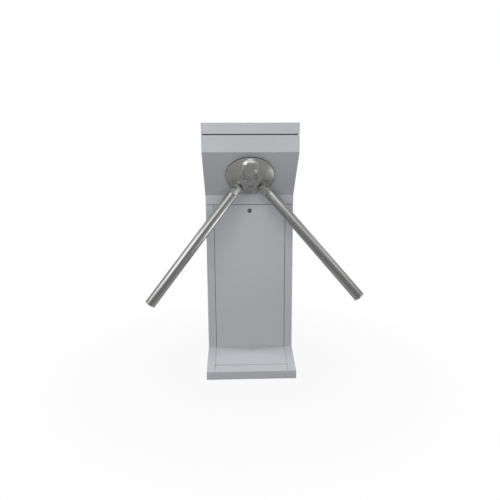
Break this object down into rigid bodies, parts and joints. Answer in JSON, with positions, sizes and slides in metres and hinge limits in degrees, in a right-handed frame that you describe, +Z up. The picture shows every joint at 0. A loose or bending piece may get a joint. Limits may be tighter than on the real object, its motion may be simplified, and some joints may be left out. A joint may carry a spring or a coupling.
{
  "type": "tripod turnstile",
  "caption": "Waist-high tripod turnstile: folding tube arms on a sloped rotor, carried by a C-shaped sheet steel cabinet with a sloping foot, a lift-off front cover and a lid.",
  "frame": {"origin": "on the floor, at the centre of the anchor holes in the base plate", "axes": "+Z up, +Y to the back of the cabinet, +X to the right of someone facing its front"},
  "size_m": [0.8147, 0.9089, 0.995],
  "materials": {
    "cabinet_paint": "light grey powder coat",
    "seal_rubber": "black foam rubber",
    "arm_steel": "fine brushed stainless steel",
    "hub_steel": "satin stainless steel",
    "screw_steel": "plain steel fasteners",
    "lock_chrome": "dark chrome",
    "zinc_steel": "zinc plated sheet and plate",
    "machined_steel": "machined and ground steel",
    "housing_iron": "grey painted casting",
    "motor_black": "black enamel",
    "black_plastic": "black moulded plastic",
    "board_green": "green solder resist",
    "terminal_green": "green moulded plastic",
    "supply_case": "bare folded aluminium"
  },
  "bodies": {
    "cabinet": {"left_cheek": "cabinet_paint", "right_cheek": "cabinet_paint", "back_panel": "cabinet_paint", "front_cover": "cabinet_paint", "foot_nose": "cabinet_paint", "head_shell": "cabinet_paint", "top_lid": "cabinet_paint", "lid_seal": "seal_rubber", "housing_screws": "screw_steel", "plate_nuts": "screw_steel", "lock_nut": "screw_steel", "lock_barrel": "lock_chrome", "base_plate": "zinc_steel", "foot_ribs": "zinc_steel", "joint_frame": "zinc_steel", "mechanism_plate": "zinc_steel", "carrier_plate": "zinc_steel", "carrier_pillars": "zinc_steel", "electronics_panel": "zinc_steel", "board_spacers": "zinc_steel", "sensor_bracket": "zinc_steel", "bearing_outer_rings": "machined_steel", "pawl_pins": "machined_steel", "bearing_housing": "housing_iron", "centring_motor": "motor_black", "lock_solenoids": "motor_black", "encoder_sensor": "black_plastic", "control_board": "board_green", "terminal_blocks": "terminal_green", "power_supply": "supply_case"},
    "rotor": {"rotor_hub": "hub_steel", "arm_pins": "screw_steel", "hub_screws": "screw_steel", "rotor_plate": "hub_steel", "rotor_dome": "hub_steel", "main_shaft": "machined_steel", "shaft_spacers": "machined_steel", "shaft_nut": "machined_steel", "encoder_disc": "black_plastic", "bearing_inner_rings": "machined_steel", "main_gear": "machined_steel", "lock_wheel": "machined_steel"},
    "front_arm": {"front_arm_root": "hub_steel", "front_arm_tube": "arm_steel", "front_arm_cap": "arm_steel"},
    "left_arm": {"left_arm_root": "hub_steel", "left_arm_tube": "arm_steel", "left_arm_cap": "arm_steel"},
    "right_arm": {"right_arm_root": "hub_steel", "right_arm_tube": "arm_steel", "right_arm_cap": "arm_steel"},
    "motor_drive": {"motor_pinion": "machined_steel", "motor_shaft": "machined_steel"},
    "ball_cages": {"bearing_balls": "machined_steel"},
    "left_pawl": {"left_pawl": "machined_steel"},
    "right_pawl": {"right_pawl": "machined_steel"},
    "left_plunger": {"left_plunger": "machined_steel"},
    "right_plunger": {"right_plunger": "machined_steel"},
    "cover_lock": {"lock_plug": "lock_chrome", "lock_cam": "screw_steel"}
  },
  "joints": [
    {"name": "rotor_spin", "type": "hinge", "parent": "cabinet", "child": "rotor", "pos_m": [0, -0.103, 0.809], "axis": [0, -0.7071, -0.7071], "continuous": true},
    {"name": "front_arm_fold", "type": "hinge", "parent": "rotor", "child": "front_arm", "pos_m": [-0.00249, -0.16872, 0.82381], "axis": [0.999, -0.0308, 0.0308], "range_deg": [0, 45]},
    {"name": "left_arm_fold", "type": "hinge", "parent": "rotor", "child": "left_arm", "pos_m": [-0.04807, -0.1068, 0.76189], "axis": [-0.5373, -0.5964, 0.5964], "range_deg": [0, 45]},
    {"name": "right_arm_fold", "type": "hinge", "parent": "rotor", "child": "right_arm", "pos_m": [0.05056, -0.10985, 0.76493], "axis": [-0.4617, 0.6272, -0.6272], "range_deg": [0, 45]},
    {"name": "motor_spin", "type": "hinge", "parent": "cabinet", "child": "motor_drive", "pos_m": [0, 0.02499, 0.83092], "axis": [0, -0.7071, -0.7071], "continuous": true},
    {"name": "cage_spin", "type": "hinge", "parent": "cabinet", "child": "ball_cages", "pos_m": [0, -0.06906, 0.84294], "axis": [0, -0.7071, -0.7071], "continuous": true},
    {"name": "left_pawl_swing", "type": "hinge", "parent": "cabinet", "child": "left_pawl", "pos_m": [-0.059, -0.04997, 0.92709], "axis": [0, -0.7071, -0.7071], "range_deg": [0, 12]},
    {"name": "right_pawl_swing", "type": "hinge", "parent": "cabinet", "child": "right_pawl", "pos_m": [0.059, -0.04997, 0.92709], "axis": [0, 0.7071, 0.7071], "range_deg": [0, 12]},
    {"name": "left_plunger_slide", "type": "slide", "parent": "cabinet", "child": "left_plunger", "axis": [1, 0, 0], "range_m": [0, 0.0079]},
    {"name": "right_plunger_slide", "type": "slide", "parent": "cabinet", "child": "right_plunger", "axis": [-1, 0, 0], "range_m": [0, 0.0079]},
    {"name": "cover_lock_turn", "type": "hinge", "parent": "cabinet", "child": "cover_lock", "pos_m": [0, -0.022, 0.664], "axis": [0, 1, 0], "range_deg": [0, 90]}
  ],
  "couplings": [
    {"joint": "motor_spin", "follows": "rotor_spin", "ratio": -4},
    {"joint": "cage_spin", "follows": "rotor_spin", "ratio": 0.4},
    {"joint": "left_plunger_slide", "follows": "left_pawl_swing", "m_per_rad": 0.0377},
    {"joint": "right_plunger_slide", "follows": "right_pawl_swing", "m_per_rad": 0.0377}
  ]
}
